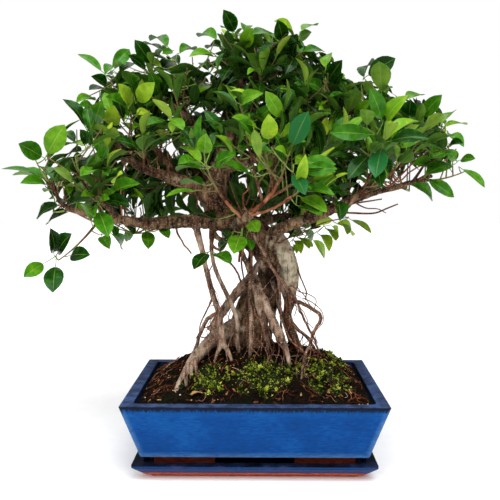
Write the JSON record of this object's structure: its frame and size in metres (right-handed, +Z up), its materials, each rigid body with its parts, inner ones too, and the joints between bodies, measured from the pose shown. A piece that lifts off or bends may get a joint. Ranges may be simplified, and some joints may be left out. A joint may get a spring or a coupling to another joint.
{
  "type": "potted bonsai tree",
  "caption": "Bonsai fig with a bent trunk, aerial roots and glossy leaves, planted in a rectangular blue-glazed pot that stands on its own glazed saucer.",
  "frame": {"origin": "centre of the saucer's flat underside, which rests on the table or shelf", "axes": "+Z up, +X to the right along the pot's long side as the front is seen, -Y towards the front"},
  "size_m": [0.658, 0.3964, 0.638],
  "materials": {
    "glaze": "gloss",
    "plastic": "matte",
    "soil": "matte",
    "moss": "matte",
    "bark": "matte",
    "leaf": "satin"
  },
  "bodies": {
    "root": {"saucer": "glaze", "pot": "glaze", "drain_screen_left": "plastic", "drain_screen_right": "plastic", "soil": "soil", "moss_front_left": "moss", "moss_front_centre": "moss", "moss_front_right": "moss", "moss_right": "moss", "moss_back": "moss", "wood": "bark", "shoot_left_1": "leaf", "shoot_left_2": "leaf", "shoot_left_3": "leaf", "shoot_left_4": "leaf", "shoot_left_5": "leaf", "shoot_left_6": "leaf", "shoot_left_7": "leaf", "shoot_left_8": "leaf", "shoot_left_9": "leaf", "shoot_left_10": "leaf", "shoot_left_11": "leaf", "shoot_left_12": "leaf", "shoot_left_13": "leaf", "shoot_top_1": "leaf", "shoot_top_2": "leaf", "shoot_top_3": "leaf", "shoot_top_4": "leaf", "shoot_top_5": "leaf", "shoot_top_6": "leaf", "shoot_top_7": "leaf", "shoot_top_8": "leaf", "shoot_top_9": "leaf", "shoot_right_1": "leaf", "shoot_right_2": "leaf", "shoot_right_3": "leaf", "shoot_right_4": "leaf", "shoot_right_5": "leaf", "shoot_right_6": "leaf", "shoot_right_7": "leaf", "shoot_right_8": "leaf", "shoot_right_9": "leaf", "shoot_right_10": "leaf", "shoot_front_1": "leaf", "shoot_front_2": "leaf", "shoot_front_3": "leaf", "shoot_front_4": "leaf", "shoot_front_5": "leaf", "shoot_low_1": "leaf", "shoot_low_2": "leaf", "shoot_low_3": "leaf", "shoot_back_1": "leaf", "shoot_back_2": "leaf", "shoot_back_3": "leaf", "shoot_back_4": "leaf", "shoot_back_5": "leaf", "shoot_back_6": "leaf", "shoot_back_7": "leaf", "shoot_back_8": "leaf", "shoot_back_9": "leaf"}
  },
  "joints": []
}
